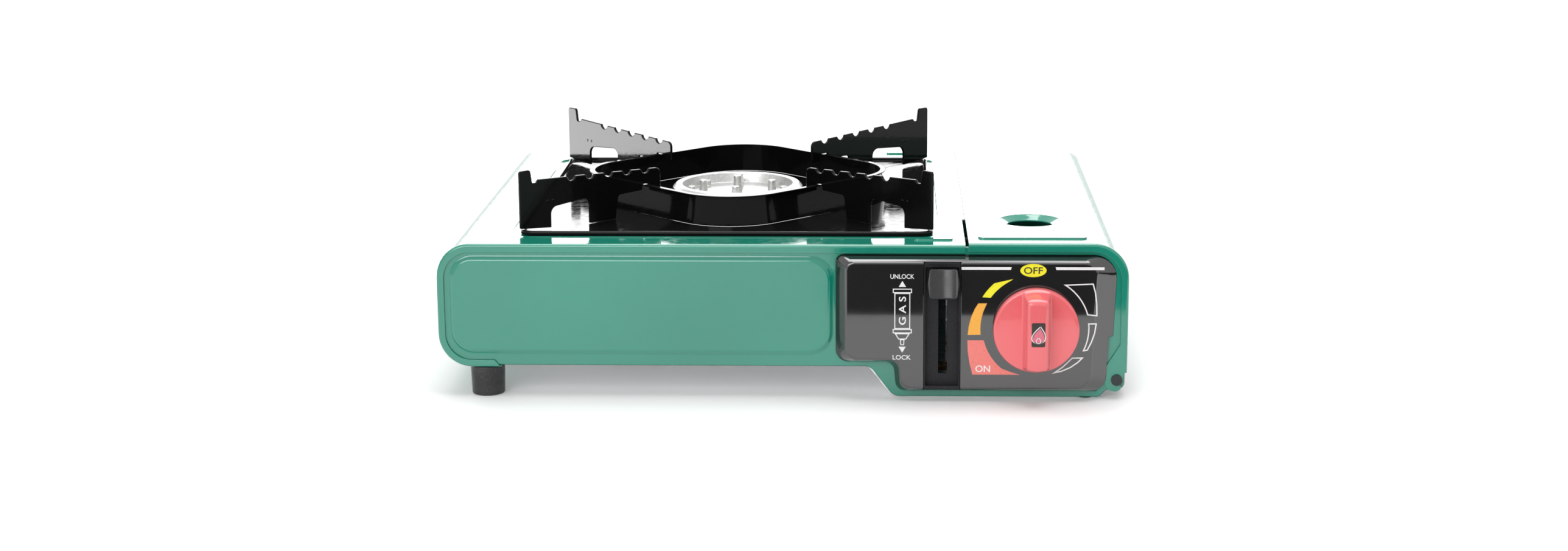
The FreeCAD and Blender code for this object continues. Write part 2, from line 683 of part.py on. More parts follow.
def trivet(label, quarter):
    body = add_body(label)
    body.Placement = FreeCAD.Placement(FreeCAD.Vector(),
                                       FreeCAD.Rotation(FreeCAD.Vector(0, 0, 1), 45 + 90 * quarter))
    place(body, "tray_x", "tray_middle")
    plate = add_sketch(body, "XZ_Plane")
    reach = "trivet_reach - "
    window = "(leg_width + window_length)"
    outline(plate, [
        ("trivet_reach", "tray_top + 0.5"),
        ("trivet_reach", "horn_top", "1.5"),
        (reach + "horn_width", "horn_top", "1.5"),
        (reach + "horn_width - 1", "rest_outer - 1.5", "1"),
        (reach + "horn_width - 3.6", "rest_outer - 1.5", "1"),
        (reach + "horn_width - 5", "rest_outer", "0.8"),
        (reach + "trivet_length", "rest_inner", "3"),
        (reach + "trivet_length", "hook_foot", "1.5"),
        ("ring_side - hook_slack", "hook_foot", "0.8"),
        ("ring_side - hook_slack", "ring_top + seam", "1"),
        ("ring_side + ring_lip", "ring_top + seam", "1"),
        ("ring_side + ring_lip", "hook_foot + 1", "0.8"),
        (reach + window + " - inner_leg - 2", "hook_foot + 0.5", "2"),
        (reach + window + " - inner_leg", "tray_floor + seam"),
        (reach + window, "tray_floor + seam"),
        (reach + window, "window_top + 1", "4"),
        (reach + "leg_width", "window_top - 1", "4"),
        (reach + "leg_width", "tray_floor + 1.6")])
    pad(body, plate, "trivet_wall", SideType="Symmetric")
    notches = add_sketch(body, "XZ_Plane")
    for i in range(int(measure("notch_count"))):
        along = "notch_first + %d * notch_pitch" % i
        circle(notches, "trivet_reach - (%s)" % along,
               "rest_outer - rest_slope * (%s - horn_width - 5) + notch_radius - notch_depth" % along,
               "notch_radius")
    pocket(body, notches, "3 * trivet_wall", SideType="Symmetric")


# burner


def burner_head():
    body = add_body("burner_head", "tray_x", "tray_middle", "burner_top")
    wall = add_sketch(body, "XZ_Plane")
    outline(wall, [
        ("0", "-bowl_depth"),
        ("bowl_radius - 1.4", "-bowl_depth"),
        ("bowl_radius", "0"),
        ("burner_radius - 1.7", "0"),
        ("burner_radius", "-1.7"),
        ("burner_radius", "-burner_height"),
        ("burner_radius - 3.5", "-burner_height"),
        ("burner_radius - 3.5", "-bowl_depth - 2"),
        ("0", "-bowl_depth - 2")])
    spin(body, wall)
    for count, reach, start, top, shrink in (
            ("1", "0", "2.6", "9", "0.6"), ("post_count", "bowl_radius * 0.62", "2.4", "6.5", "0.5"),
            ("peg_count", "bowl_radius * 0.83", "1.9", "3", "0.2")):
        foot = add_sketch(body, "XZ_Plane", x=reach)
        outline(foot, [("0", "-bowl_depth - 0.5"), (start, "-bowl_depth - 0.5"),
                       (start + " - " + shrink, top + " - bowl_depth"), ("0", top + " - bowl_depth")])
        post = spin(body, foot)
        if count != "1":
            flat = add_sketch(body, "XY_Plane")
            ring_of(body, post, flat, count)
    port = add_sketch(body, "XZ_Plane", z="burner_radius + 1")
    rectangle(port, "-port_width / 2", "-2.5 - port_height", "port_width / 2", "-2.5")
    cut = pocket(body, port, "port_depth + 1")
    flat = add_sketch(body, "XY_Plane")
    ring_of(body, cut, flat, "port_count")


def burner_base():
    body = add_body("burner_base", "tray_x", "tray_middle")
    cup = add_sketch(body, "XZ_Plane")
    under = "burner_top - burner_height - contact"
    outline(cup, [
        ("0", "throat_height"),
        ("throat_radius", "throat_height"),
        ("throat_radius", "mixer_height + mixer_bore + 3", "6"),
        ("burner_radius - 6", under + " - 9", "5"),
        ("burner_radius", under + " - 5", "2"),
        ("burner_radius", under),
        ("burner_radius - 1.5", under),
        ("burner_radius - 1.5", under + " - 4"),
        ("burner_radius - 7.5", under + " - 7.5"),
        ("throat_radius - 1.5", "mixer_height + mixer_bore + 4"),
        ("throat_radius - 1.5", "throat_height + 1.5"),
        ("0", "throat_height + 1.5")])
    spin(body, cup)
    mouth = add_sketch(body, "YZ_Plane")
    circle(mouth, "0", "mixer_height", "mixer_bore + 1 + contact")
    pocket(body, mouth, "throat_radius + 3", Reversed=True)
    turn(body, (0, 0, 1), "mixer_turn")
    place(body, "tray_x", "tray_middle")


def mixing_tube():
    body = add_body("mixing_tube")
    turn(body, (0, 0, 1), "mixer_turn")
    place(body, "tray_x", "tray_middle", "mixer_height")
    wall = add_sketch(body, "XZ_Plane")
    outline(wall, [
        ("throat_radius - 3", "mixer_bore"),
        ("mixer_length - 12", "mixer_bore", "20"),
        ("mixer_length", "mixer_bore + 2.5"),
        ("mixer_length", "mixer_bore + 3.5"),
        ("mixer_length - 12", "mixer_bore + 1", "20"),
        ("throat_radius - 3", "mixer_bore + 1")])
    spin(body, wall, "H_Axis")


def gas_jet():
    body = add_body("gas_jet")
    turn(body, (0, 0, 1), "mixer_turn")
    place(body, "tray_x", "tray_middle", "mixer_height")
    solid = add_sketch(body, "XZ_Plane")
    start = "mixer_length - 3"
    outline(solid, [
        (start, "0.4"), (start, "1.5"), (start + " + 3", "jet_radius * 0.7"),
        (start + " + 6", "jet_radius * 0.7"), (start + " + 6", "jet_radius"),
        (start + " + jet_length", "jet_radius"), (start + " + jet_length", "0.4")])
    spin(body, solid, "H_Axis")


def burner_bracket():
    body = add_body("burner_bracket", "tray_x", "tray_middle - 12")
    strap = add_sketch(body, "XZ_Plane")
    floor = "floor_height + sheet_wall + contact"
    top = "throat_height - contact"
    outline(strap, [
        ("-44", floor), ("-44", floor + " + 1.2"), ("-31", floor + " + 1.2", "1.5"),
        ("-22", top, "3"), ("22", top, "3"), ("31", floor + " + 1.2", "1.5"),
        ("44", floor + " + 1.2"), ("44", floor), ("30.2", floor, "2.7"),
        ("21.2", top + " - 1.2", "1.8"), ("-21.2", top + " - 1.2", "1.8"), ("-30.2", floor, "2.7")])
    pad(body, strap, "24", Reversed=True)


def spark_electrode():
    spot = ("tray_x + electrode_reach * cos(electrode_turn)",
            "tray_middle + electrode_reach * sin(electrode_turn)")
    tube = rod("insulator_tube", *spot, "insulator_low", "insulator_radius",
               "insulator_high - insulator_low")
    bore = rod("insulator_bore", *spot, "insulator_low - 1", "electrode_wire + contact",
               "insulator_high - insulator_low + 2")
    piece(less("electrode_insulator", tube, bore))
    tip = ("tray_x + (burner_radius + 2.5) * cos(electrode_turn)",
           "tray_middle + (burner_radius + 2.5) * sin(electrode_turn)", "burner_top - 3")
    bent_tube("spark_electrode", [spot + ("insulator_low",), spot + ("insulator_high + 4",), tip],
              "electrode_wire", "2.5")
    clip = add_body("electrode_clip")
    turn(clip, (0, 0, 1), "electrode_turn")
    place(clip, "tray_x", "tray_middle", "insulator_low + 8")
    flat = add_sketch(clip, "XY_Plane")
    rectangle(flat, "throat_radius + 9", "-5", "electrode_reach + 5", "5", "2")
    circle(flat, "electrode_reach", "0", "insulator_radius + running")
    pad(clip, flat, "1.2")


# controls


def fascia_outline(sketch, inset, tuck, shoulder):
    """The stepped outline, drawn in by inset all round and by tuck at the two ends."""
    left = "fascia_left + %s + %s" % (inset, tuck[0])
    right = "fascia_right - %s - %s" % (inset, tuck[1])
    outline(sketch, [
        (left, "fascia_high - " + inset, "4"),
        (right, "fascia_high - " + inset, shoulder),
        (right + " - fascia_tuck", "fascia_low + " + inset, "8"),
        ("fascia_step_x + 1.5 + %s" % inset, "fascia_low + " + inset, "5"),
        ("fascia_step_x + " + inset, "fascia_step + " + inset, "4.5"),
        (left, "fascia_step + " + inset, "6.5")])


def fascia_loft(body, kind, thin, first, second):
    """A run of the moulding between two levels, each with its depth, inset and end tucks."""
    sections = []
    for depth, inset, tucks, shoulder in (first, second):
        section = add_sketch(body, "XZ_Plane", z=depth)
        fascia_outline(section, "(%s + %s)" % (inset, thin), tucks, shoulder)
        sections.append(section)
    loft(body, *sections, kind)


def control_fascia():
    body = add_body("control_fascia", y="fascia_y")
    drawn_in = ("face_left - face_inset", "face_right - face_inset")
    back = ("0", "0", ("0", "0"), "12")
    brow = ("fascia_deep - fascia_bevel", "face_inset", drawn_in, "7")
    face = ("fascia_deep", "face_inset + fascia_bevel", drawn_in, "6")
    fascia_loft(body, "AdditiveLoft", "0", back, brow)
    fascia_loft(body, "AdditiveLoft", "0", brow, face)
    behind = ("-contact",) + back[1:]
    under = ("fascia_deep - fascia_wall",) + brow[1:]
    fascia_loft(body, "SubtractiveLoft", "fascia_wall", behind, under)
    window = add_sketch(body, "XZ_Plane")
    rectangle(window, "insert_left", "window_low", "insert_right", "window_high")
    pocket(body, window, "3 * fascia_deep", SideType="Symmetric")
    stem = add_sketch(body, "XZ_Plane")
    circle(stem, "stem_x", "stem_height", "stem_radius + 2")
    pocket(body, stem, "3 * fascia_deep", SideType="Symmetric")
    ear = add_sketch(body, "XZ_Plane")
    rectangle(ear, "hinge_x - 9.5", "fascia_low - 2", "half_width", "hinge_height + 22")
    pocket(body, ear, "2 * (panel_recess + seam)", SideType="Symmetric")


def slot_insert():
    body = add_body("slot_insert", y="fascia_y")
    outer = add_sketch(body, "XZ_Plane", z="-contact")
    rectangle(outer, "insert_left + contact", "window_low + contact", "insert_right - contact",
              "window_high - contact", "0.6")
    pad(body, outer, "fascia_deep")
    hollow = add_sketch(body, "XZ_Plane", z="-contact")
    rectangle(hollow, "insert_left + insert_wall", "channel_low + 0.5", "insert_right - insert_wall",
              "channel_high - 0.5", "0.5")
    pocket(body, hollow, "fascia_deep - channel_depth - insert_wall + contact", Reversed=True)
    channel = add_sketch(body, "XZ_Plane", z="fascia_deep")
    rectangle(channel, "insert_left + 0.8", "channel_low", "insert_right - 0.8", "channel_high", "0.5")
    pocket(body, channel, "channel_depth")
    slot = add_sketch(body, "XZ_Plane")
    rectangle(slot, "lever_x - slot_width / 2", "slot_low", "lever_x + slot_width / 2", "slot_high",
              "0.5")
    pocket(body, slot, "4 * fascia_deep", SideType="Symmetric")


def grip_side(body, side, front, narrower, depth, slope):
    """Cuts one side of the grip bar from the knob's front face, sloping outwards as it sinks."""
    scoop = add_sketch(body, "XZ_Plane", z=front)
    near, far = side + " * (grip_width / 2 - %s)" % narrower, side + " * 3 * knob_radius"
    corners = [(near, "-2 * knob_radius"), (far, "-2 * knob_radius"),
               (far, "2 * knob_radius"), (near, "2 * knob_radius")]
    outline(scoop, corners if side == "1" else corners[::-1])
    pocket(body, scoop, depth, TaperAngle=slope)


def control_knob():
    body = add_body("control_knob", "stem_x", "front_y - knob_back", "stem_height")
    tall = "knob_reach - knob_back"
    dome = add_sketch(body, "XY_Plane")
    outline(dome, [
        ("0", "0"), ("knob_radius", "0"), ("knob_radius", "-knob_skirt", "knob_edge"),
        ("knob_radius - 1.2", "-knob_skirt - 0.4", "1"), ("knob_radius - 3.5", "-(%s)" % tall, "3"),
        ("0", "-(%s)" % tall)])
    spin(body, dome)
    for side in ("1", "-1"):
        grip_side(body, side, tall, "0", tall + " - knob_skirt", "-grip_slope")
        grip_side(body, side, tall, "grip_edge", "grip_edge", "-45")
    bore = add_sketch(body, "XZ_Plane")
    circle(bore, "0", "0", "stem_radius - 1 + running")
    pocket(body, bore, "knob_skirt + 4", Reversed=True)


def valve_stem():
    shaft = rod("stem_shaft", "stem_x", "front_y + inner_y + 8", "stem_height", "stem_radius", "10", "Y")
    neck = rod("stem_neck", "stem_x", "front_y - knob_back - knob_skirt - 3", "stem_height",
               "stem_radius - 1", "knob_back + knob_skirt + inner_y + 11.5", "Y")
    piece(joined("valve_stem", [shaft, neck]))


def lever_frame(body, x="0"):
    """Puts a piece at the lever's pivot with its local -Y along the lever's arm."""
    turn(body, (1, 0, 0), "-swing / 2")
    return place(body, x, "front_y + pivot_y", "pivot_height")


def lock_lever():
    body = lever_frame(add_body("lock_lever"), "lever_x")
    plate = add_sketch(body, "YZ_Plane")
    outline(plate, [
        ("-lever_reach - 4.5", "-lever_width / 2"), ("-8", "-lever_width / 2", "6"),
        ("5", "-7", "5"), ("7", "0", "5"), ("3.5", "drive_arm + 4", "3.4"),
        ("-3.5", "drive_arm + 4", "3.4"), ("-7", "lever_width / 2", "4"),
        ("-lever_reach - 4.5", "lever_width / 2")])
    circle(plate, "0", "0", "pivot_pin / 2 + running")
    circle(plate, "0", "drive_arm", "drive_pin / 2 + contact")
    pad(body, plate, "lever_wall", SideType="Symmetric")
    pin = rod("lever_drive_pin", "lever_x - lever_wall / 2 - 0.5",
              "front_y + pivot_y + drive_arm * sin(swing / 2)",
              "pivot_height + drive_arm * cos(swing / 2)", "drive_pin / 2", "7.5", "X")
    pin.Label = "lever_drive_pin"
    piece(pin)


def lever_thumb():
    body = lever_frame(add_body("lever_thumb"), "lever_x")
    barrel = add_sketch(body, "XZ_Plane", z="lever_reach + 1.5")
    wide, tall = "thumb_width / 2", "thumb_tall / 2"
    outline(barrel, [
        ("-%s + 1" % wide, "-" + tall, "1.5"), ("%s - 1" % wide, "-" + tall, "1.5"),
        (wide, "0", "12"), ("%s - 1" % wide, tall, "1.5"), ("-%s + 1" % wide, tall, "1.5"),
        ("-" + wide, "0", "12")])
    pad(body, barrel, "thumb_thick")
    scoop = add_sketch(body, "XY_Plane")
    circle(scoop, "0", "-(lever_reach + 1.5 + thumb_thick + 9)", "11")
    pocket(body, scoop, "3 * thumb_tall", SideType="Symmetric")
    socket = add_sketch(body, "XZ_Plane", z="lever_reach + 1")
    rectangle(socket, "-lever_wall / 2 - running", "-lever_width / 2 - running",
              "lever_wall / 2 + running", "lever_width / 2 + running")
    pocket(body, socket, "3.6", Reversed=True)


def lever_bracket():
    body = add_body("lever_bracket", y="front_y + pivot_y - 11")
    bent = add_sketch(body, "XZ_Plane")
    near = "lever_x - lever_wall / 2 - 1.6"
    outline(bent, [
        (near, "bay_floor + contact"), (near, "pivot_height + 8"),
        (near + " - 1.2", "pivot_height + 8"), (near + " - 1.2", "bay_floor + contact + 1.2", "1"),
        (near + " - 12", "bay_floor + contact + 1.2"), (near + " - 12", "bay_floor + contact")])
    pad(body, bent, "22", Reversed=True)
    hole = add_sketch(body, "YZ_Plane", x="11")
    circle(hole, "0", "pivot_height", "pivot_pin / 2 + running")
    pocket(body, hole, "200", SideType="Symmetric")
    shaft = rod("pivot_shaft", near + " - 1.7", "front_y + pivot_y", "pivot_height", "pivot_pin / 2",
                "lever_wall + 4.2", "X")
    head = rod("pivot_head", near + " - 2.7", "front_y + pivot_y", "pivot_height", "pivot_pin / 2 + 1.5",
               "1.3", "X")
    piece(joined("lever_pivot_pin", [shaft, head]))


# gas bay


def regulator():
    y = "front_y + inner_y"
    plate = block("mount_plate", "stem_x - 20", y, "stem_height - 15", "40", "2", "30")
    core = rod("valve_core", "stem_x", y, "stem_height", "14", "38", "Y")
    drum = rod("drum", "100", "front_y + 24", "stem_height", "housing_radius", "13.4", "X")
    seat = block("seat_plate", "stem_x - 24", "socket_y - 6", "stem_height - 22", "48", "3", "44")
    solid = joined("regulator_solid", [plate, core, drum, seat])
    well = rod("stem_well", "stem_x", y + " - 1", "stem_height", "stem_radius + running", "21", "Y")
    piece(less("regulator_body", solid, well))
    cap = rod("cap_disc", "96", "front_y + 24", "stem_height", "housing_radius", "3.9", "X")
    boss = rod("cap_boss", "92", "front_y + 24", "stem_height", "8", "5", "X")
    piece(joined("regulator_cap", [cap, boss]))
    ring = rod("socket_ring", "stem_x", "socket_y - 2.9", "stem_height", "socket_radius",
               "socket_length + 2.9", "Y")
    bore = rod("socket_hole", "stem_x", "socket_y", "stem_height", "socket_bore", "socket_length + 1", "Y")
    piece(less("canister_socket", ring, bore))


def gas_tube():
    far = "mixer_length - 3 + jet_length"
    last = ("tray_x + (%s) * cos(mixer_turn)" % far, "tray_middle + (%s) * sin(mixer_turn)" % far,
            "mixer_height")
    before = ("tray_x + (%s + 15) * cos(mixer_turn)" % far,
              "tray_middle + (%s + 15) * sin(mixer_turn)" % far, "mixer_height")
    bent_tube("gas_tube", [
        ("107", "front_y + 24", "stem_height - housing_radius - contact"),
        ("107", "front_y + 24", "9"), ("70", "front_y + 36", "8"),
        ("61", "front_y + 52", "22"), before, last], "tube_radius", "tube_bend")


def canister_carriage():
    body = add_body("canister_carriage", y="front_y + pivot_y - 12")
    bent = add_sketch(body, "XZ_Plane")
    near = "lever_x + lever_wall / 2 + 1.6"
    low = "bay_floor + seam"
    outline(bent, [
        (near, low), ("stem_x + 16", low), ("stem_x + 16", low + " + carriage_wall"),
        (near + " + carriage_wall", low + " + carriage_wall", "1"),
        (near + " + carriage_wall", "pivot_height + drive_arm + 5"),
        (near, "pivot_height + drive_arm + 5")])
    pad(body, bent, "15", Reversed=True)
    for side in ("-14", "8"):
        hook = add_sketch(body, "XZ_Plane", z="-15 + carriage_wall")
        rectangle(hook, "stem_x + " + side, low, "stem_x + 6 + " + side, low + " + 9")
        pad(body, hook, "carriage_wall", Reversed=True)
    slot = add_sketch(body, "YZ_Plane")
    middle = "12 + drive_arm * sin(swing / 2)"
    half = "(drive_pin / 2 + carriage_slack)"
    rectangle(slot, middle + " - " + half, "pivot_height + drive_arm - 4", middle + " + " + half,
              "pivot_height + drive_arm + 2.5", "drive_pin * 0.4")
    pocket(body, slot, "300", SideType="Symmetric")


def canister_saddle():
    body = add_body("canister_saddle", y="rear_y - 60")
    plate = add_sketch(body, "XZ_Plane")
    floor = "bay_floor + contact"
    outline(plate, [
        ("stem_x - 24", floor), ("stem_x - 24", floor + " + 5.5"), ("stem_x - 12", floor + " + 1", "8"),
        ("stem_x + 12", floor + " + 1", "8"), ("stem_x + 24", floor + " + 5.5"), ("stem_x + 24", floor)])
    pad(body, plate, "12", Reversed=True)


def piezo_igniter():
    y = "front_y + inner_y"
    case = rod("igniter_case", "igniter_x", y, "igniter_height", "igniter_radius", "igniter_length", "Y")
    nib = rod("igniter_nib", "igniter_x", y + " + igniter_length", "igniter_height", "2.5", "5", "Y")
    piece(joined("piezo_igniter", [case, nib]))
    spot = ("tray_x + electrode_reach * cos(electrode_turn)",
            "tray_middle + electrode_reach * sin(electrode_turn)")
    lead_y = y + " + igniter_length + 5 + contact"
    bent_tube("ignition_lead", [
        ("igniter_x", lead_y, "igniter_height"), ("igniter_x", lead_y + " + 5", "igniter_height"),
        ("igniter_x - 20", lead_y + " + 7", "lead_height"), ("lever_x", lead_y + " + 9", "lead_height + 0.5"),
        ("lever_x - 36", lead_y + " + 28", "60"), (spot[0] + " + 16", spot[1] + " - 18", "49"),
        (spot[0] + " + 4", spot[1] + " - 6", "41.5"), (spot[0], spot[1], "44"),
        (spot[0], spot[1], "insulator_low - contact")], "lead_radius", "lead_bend")


main_shell()
front_panel()
rear_panel()
bottom_plate()
bay_partition()
hinge_pins()
feet()
lid_shell()
drip_tray()
wind_ring()
for turn_number, corner_name in enumerate(("rear_right", "rear_left", "front_left", "front_right")):
    trivet("trivet_" + corner_name, turn_number)
burner_head()
burner_base()
mixing_tube()
gas_jet()
burner_bracket()
spark_electrode()
control_fascia()
slot_insert()
control_knob()
valve_stem()
lock_lever()
lever_thumb()
lever_bracket()
regulator()
gas_tube()
canister_carriage()
canister_saddle()
piezo_igniter()
doc.recompute()

failed = [item.Label for item in doc.Objects if {"Invalid", "Error"} & set(item.State)]
failed += [item.Label for item in PIECES if item.Shape.isNull() or not item.Shape.isValid()]
if failed:
    raise RuntimeError("failed: " + ", ".join(failed))

os.makedirs("parts", exist_ok=True)
for item in PIECES:
    item.Shape.exportStep("parts/" + item.Label + ".step")
    print(item.Label, len(item.Shape.Solids), round(item.Shape.Volume, 1))
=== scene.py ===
import math

import bpy
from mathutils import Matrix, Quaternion, Vector


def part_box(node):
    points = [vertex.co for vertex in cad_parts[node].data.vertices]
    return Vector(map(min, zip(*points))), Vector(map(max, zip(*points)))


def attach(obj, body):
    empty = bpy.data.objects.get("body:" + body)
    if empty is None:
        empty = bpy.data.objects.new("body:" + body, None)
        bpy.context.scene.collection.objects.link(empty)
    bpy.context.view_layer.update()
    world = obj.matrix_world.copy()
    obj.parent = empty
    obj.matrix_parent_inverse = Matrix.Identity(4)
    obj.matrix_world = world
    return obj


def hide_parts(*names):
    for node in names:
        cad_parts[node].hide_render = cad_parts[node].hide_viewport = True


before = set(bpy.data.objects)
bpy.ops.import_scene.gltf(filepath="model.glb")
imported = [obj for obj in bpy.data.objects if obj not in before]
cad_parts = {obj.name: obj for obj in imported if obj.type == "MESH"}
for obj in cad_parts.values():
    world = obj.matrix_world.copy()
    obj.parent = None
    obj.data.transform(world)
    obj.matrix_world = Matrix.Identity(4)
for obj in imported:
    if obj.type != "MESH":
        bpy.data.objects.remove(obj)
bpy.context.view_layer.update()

bpy.ops.object.select_all(action="DESELECT")


# Pressed casing
# Body shell, front and rear panels and the lid over the gas bay, all of 0.8 mm steel sheet.
# They are drawn and folded, then sprayed with a green enamel that is baked to a deep gloss.

def new_finish(name, colour, roughness, metallic=0.0):
    """A material whose patterns follow the piece itself, with its plain values set."""
    made = bpy.data.materials.new(name)
    made.use_nodes = True
    tree = made.node_tree
    shader = tree.nodes["Principled BSDF"]
    shader.inputs["Base Color"].default_value = (*colour, 1.0)
    shader.inputs["Roughness"].default_value = roughness
    shader.inputs["Metallic"].default_value = metallic
    where = tree.nodes.new("ShaderNodeTexCoord").outputs["Object"]
    return made, tree, shader, where


def grain(tree, where, scale, detail=3.0, stretch=(1, 1, 1)):
    """Noise of that many lumps to the metre, drawn out along an axis by stretch."""
    if stretch != (1, 1, 1):
        mapping = tree.nodes.new("ShaderNodeMapping")
        mapping.inputs["Scale"].default_value = stretch
        tree.links.new(where, mapping.inputs["Vector"])
        where = mapping.outputs["Vector"]
    noise = tree.nodes.new("ShaderNodeTexNoise")
    noise.inputs["Scale"].default_value = scale
    noise.inputs["Detail"].default_value = detail
    tree.links.new(where, noise.inputs["Vector"])
    return noise.outputs["Fac"]


def spread(tree, pattern, low, high, start=0.3, stop=0.7):
    """Maps a pattern onto the range from low to high."""
    ramp = tree.nodes.new("ShaderNodeMapRange")
    ramp.inputs["From Min"].default_value = start
    ramp.inputs["From Max"].default_value = stop
    ramp.inputs["To Min"].default_value = low
    ramp.inputs["To Max"].default_value = high
    tree.links.new(pattern, ramp.inputs["Value"])
    return ramp.outputs["Result"]


def blend_colours(tree, pattern, first, second):
    mix = tree.nodes.new("ShaderNodeMix")
    mix.data_type = "RGBA"
    mix.inputs["A"].default_value = (*first, 1.0)
    mix.inputs["B"].default_value = (*second, 1.0)
    tree.links.new(pattern, mix.inputs["Factor"])
    return mix.outputs["Result"]


def relief(tree, shader, pattern, height):
    """Raises the surface by that many metres where the pattern is high."""
    bump = tree.nodes.new("ShaderNodeBump")
    bump.inputs["Strength"].default_value = 1.0
    bump.inputs["Distance"].default_value = height
    tree.links.new(pattern, bump.inputs["Height"])
    tree.links.new(bump.outputs["Normal"], shader.inputs["Normal"])


def dress(finish, *names):
    for name in names:
        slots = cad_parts[name].data.materials
        slots.clear()
        slots.append(finish)


def enamel(name, dark, light, peel_height, gloss):
    """Sprayed gloss over steel: orange peel, faint drift in its colour, dust and rubbed spots."""
    made, tree, shader, where = new_finish(name, dark, 0.12)
    drift = spread(tree, grain(tree, where, 14.0, 2.0), 0.0, 1.0)
    tree.links.new(blend_colours(tree, drift, dark, light), shader.inputs["Base Color"])
    rubbed = grain(tree, where, 260.0, 6.0, (1.0, 1.0, 4.0))
    tree.links.new(spread(tree, rubbed, 0.05, 0.2, 0.35, 0.8), shader.inputs["Roughness"])
    shader.inputs["Specular IOR Level"].default_value = gloss
    shader.inputs["Coat Weight"].default_value = gloss
    shader.inputs["Coat Roughness"].default_value = 0.04
    relief(tree, shader, grain(tree, where, 420.0, 1.0), peel_height)
    return made


def pick(piece):
    """Selects one piece alone and makes it the active one."""
    bpy.ops.object.select_all(action="DESELECT")
    piece.select_set(True)
    bpy.context.view_layer.objects.active = piece


def take_copy(name, node):
    """A merged copy of a frame node's mesh, with its flat faces whole again."""
    copy = bpy.data.objects.new(name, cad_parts[node].data.copy())
    bpy.context.scene.collection.objects.link(copy)
    pick(copy)
    bpy.ops.mesh.customdata_custom_splitnormals_clear()
    bpy.ops.object.mode_set(mode="EDIT")
    bpy.ops.mesh.select_all(action="SELECT")
    bpy.ops.mesh.remove_doubles(threshold=0.000002)
    bpy.ops.mesh.dissolve_limited(angle_limit=math.radians(0.4))
    bpy.ops.mesh.normals_make_consistent(inside=False)
    bpy.ops.object.mode_set(mode="OBJECT")
    return copy


def apply_modifier(piece, kind, **settings):
    pick(piece)
    modifier = piece.modifiers.new(kind.lower(), kind)
    for key, value in settings.items():
        setattr(modifier, key, value)
    bpy.ops.object.modifier_apply(modifier=modifier.name)


def settle(piece, finish, body, smooth_below=40.0):
    """Gives a finished piece its shading, its finish and the body that carries it."""
    pick(piece)
    bpy.ops.object.shade_smooth_by_angle(angle=math.radians(smooth_below))
    apply_modifier(piece, "WEIGHTED_NORMAL", weight=80, keep_sharp=True)
    piece.data.materials.clear()
    piece.data.materials.append(finish)
    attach(piece, body)
    return piece


def edges_rolled(name, node, body, finish, width, steps=3, sharper_than=35.0):
    """A copy of a pressed or moulded part whose edges are rolled over, shown in its place."""
    piece = take_copy(name, node)
    apply_modifier(piece, "BEVEL", width=width, segments=steps, limit_method="ANGLE",
                   angle_limit=math.radians(sharper_than), use_clamp_overlap=False)
    settle(piece, finish, body)
    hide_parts(node)
    return piece


green = enamel("green_enamel", (0.004, 0.235, 0.155), (0.006, 0.26, 0.175), 0.00001, 0.6)
SHEET_EDGE = 0.00022
FIELD_EDGE = 0.0006
edges_rolled("body_wrap", "main_shell", "stove", green, SHEET_EDGE, 2)
edges_rolled("front_pressing", "front_panel", "stove", green, FIELD_EDGE, 4, 25.0)
edges_rolled("rear_pressing", "rear_panel", "stove", green, SHEET_EDGE, 2, 25.0)
edges_rolled("bay_lid", "lid_shell", "lid", green, SHEET_EDGE, 2)


# Bottom plate and inner brackets
# Folded from galvanised sheet and left unpainted, so the zinc's spangle and rolling marks show.
# The partition, the burner strap, the lever bracket and the saddle are spot-welded to it.

def zinc_sheet():
    made, tree, shader, where = new_finish("zinc_steel", (0.55, 0.56, 0.57), 0.35, 1.0)
    cells = tree.nodes.new("ShaderNodeTexVoronoi")
    cells.inputs["Scale"].default_value = 180.0
    tree.links.new(where, cells.inputs["Vector"])
    tint = blend_colours(tree, cells.outputs["Color"], (0.48, 0.49, 0.5), (0.64, 0.65, 0.66))
    tree.links.new(tint, shader.inputs["Base Color"])
    rolled = grain(tree, where, 300.0, 4.0, (1.0, 12.0, 1.0))
    tree.links.new(spread(tree, rolled, 0.25, 0.5), shader.inputs["Roughness"])
    relief(tree, shader, rolled, 0.00002)
    return made


zinc = zinc_sheet()
dress(zinc, "bottom_plate", "bay_partition", "burner_bracket", "lever_bracket", "canister_saddle",
      "electrode_clip", "canister_carriage", "lock_lever")


# Pins and the spark wire
# Turned and drawn in bright steel, with fine rings left by the tool along their length.

def bright_metal(name, colour, roughness, rings=2600.0):
    made, tree, shader, where = new_finish(name, colour, roughness, 1.0)
    turned = grain(tree, where, rings, 2.0, (0.2, 1.0, 0.2))
    tree.links.new(spread(tree, turned, roughness * 0.7, roughness * 1.5), shader.inputs["Roughness"])
    stain = spread(tree, grain(tree, where, 70.0, 4.0), 0.0, 1.0)
    dull = tuple(0.78 * c for c in colour)
    tree.links.new(blend_colours(tree, stain, colour, dull), shader.inputs["Base Color"])
    relief(tree, shader, turned, 0.000012)
    return made


steel = bright_metal("bright_steel", (0.66, 0.66, 0.65), 0.22)
blackened = bright_metal("blackened_steel", (0.05, 0.055, 0.055), 0.35)
dress(blackened, "hinge_pins")
dress(steel, "lever_pivot_pin", "lever_drive_pin", "spark_electrode")


# Feet
# Two moulded rubber legs carry the left end, and two small pads the gas bay's end.
# The rubber is matt, with a fine pitted skin and a little dust on it.

